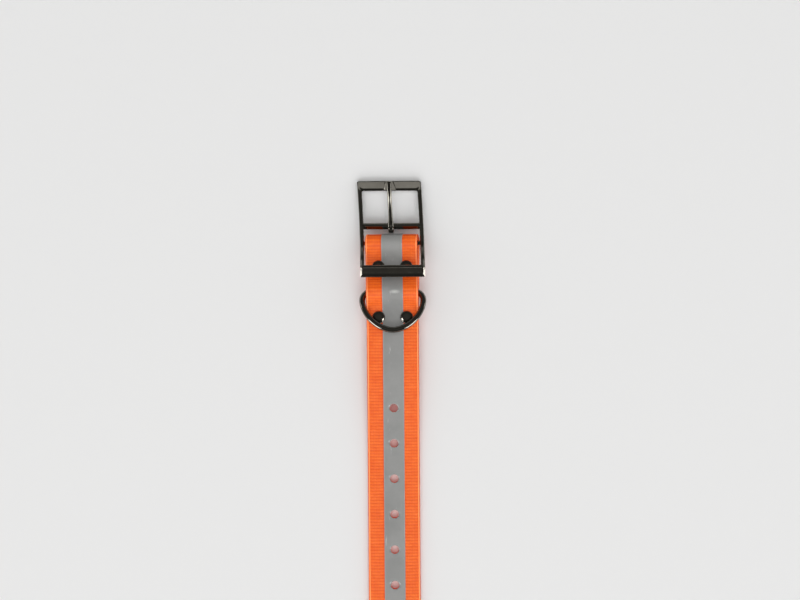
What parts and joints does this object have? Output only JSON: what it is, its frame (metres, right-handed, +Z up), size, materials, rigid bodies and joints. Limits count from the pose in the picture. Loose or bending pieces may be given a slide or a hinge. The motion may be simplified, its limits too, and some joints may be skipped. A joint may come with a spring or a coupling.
{
  "type": "flat buckle dog collar",
  "caption": "Flat dog collar of coated webbing with a reflective centre tape, punched holes along its length, a keeper-bar buckle in a riveted fold and a D-ring.",
  "frame": {"origin": "centre of the laid-out collar's bounding box in plan, on the surface that it lies on", "axes": "+Y along the strap towards the buckle, +Z up out of the face with the rivet caps, +X across the strap"},
  "size_m": [0.0325, 0.61, 0.0139],
  "materials": {
    "webbing": "satin",
    "reflective_tape": "satin",
    "black_nickel": "polished"
  },
  "bodies": {
    "strap": {"strap": "webbing", "reflective_tape": "reflective_tape", "rivet_cap_buckle_left": "black_nickel", "rivet_back_buckle_left": "black_nickel", "rivet_cap_buckle_right": "black_nickel", "rivet_back_buckle_right": "black_nickel", "rivet_cap_ring_left": "black_nickel", "rivet_back_ring_left": "black_nickel", "rivet_cap_ring_right": "black_nickel", "rivet_back_ring_right": "black_nickel"},
    "buckle": {"buckle_frame": "black_nickel", "strap_bar_pin": "black_nickel", "prong_bar_pin": "black_nickel"},
    "prong": {"prong": "black_nickel"},
    "d_ring": {"d_ring": "black_nickel"}
  },
  "joints": [
    {"name": "buckle_hinge", "type": "hinge", "parent": "strap", "child": "buckle", "pos_m": [0.0005, 0.2749, 0.00555], "axis": [1, 0, 0], "range_deg": [-85, 10]},
    {"name": "prong_hinge", "type": "hinge", "parent": "buckle", "child": "prong", "pos_m": [-0.00006, 0.28315, 0.0043], "axis": [1, 0, 0], "range_deg": [0, 105]},
    {"name": "d_ring_hinge", "type": "hinge", "parent": "strap", "child": "d_ring", "pos_m": [0.0004, 0.2517, 0.0055], "axis": [-1, 0, 0], "range_deg": [0, 105]}
  ]
}
